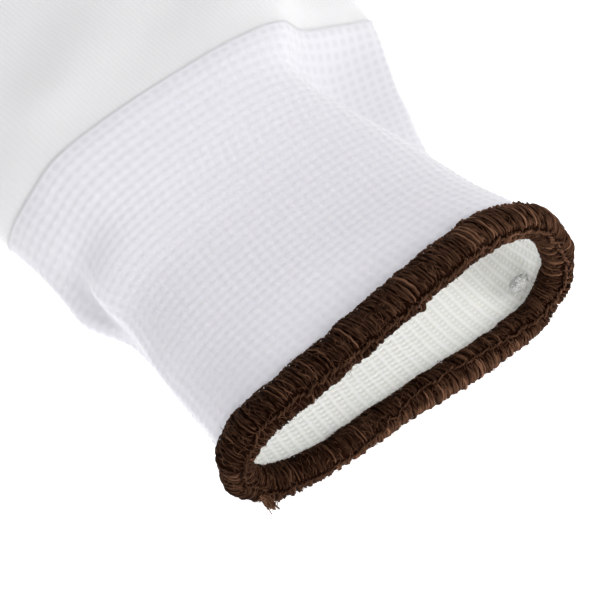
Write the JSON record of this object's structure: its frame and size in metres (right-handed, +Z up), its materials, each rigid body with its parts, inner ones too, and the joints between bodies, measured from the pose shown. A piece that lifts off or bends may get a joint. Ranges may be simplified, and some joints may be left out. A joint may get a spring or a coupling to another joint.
{
  "type": "knitted glove",
  "caption": "Knitted work glove lying back up: waffle-knit elastic cuff with a thick brown overlocked hem round its open end, and a smooth jersey hand with a tube for each digit.",
  "frame": {"origin": "middle of the underside, on the surface that the glove lies on", "axes": "+X towards the thumb's side, +Y from the hem to the fingertips, +Z up, out of the back of the hand"},
  "size_m": [0.1478, 0.2376, 0.0289],
  "materials": {
    "waffle_knit": "matt knitted nylon with rows of small pits",
    "hem_thread": "dark brown bulky overlock thread",
    "jersey_knit": "matt fine jersey",
    "seam_yarn": "fluffy white yarn"
  },
  "bodies": {
    "root": {"cuff": "waffle_knit", "hem": "hem_thread", "palm": "jersey_knit", "thumb": "jersey_knit", "index_finger": "jersey_knit", "middle_finger": "jersey_knit", "ring_finger": "jersey_knit", "little_finger": "jersey_knit", "inner_yarn_knot": "seam_yarn", "hem_thread_end": "hem_thread"}
  },
  "joints": []
}
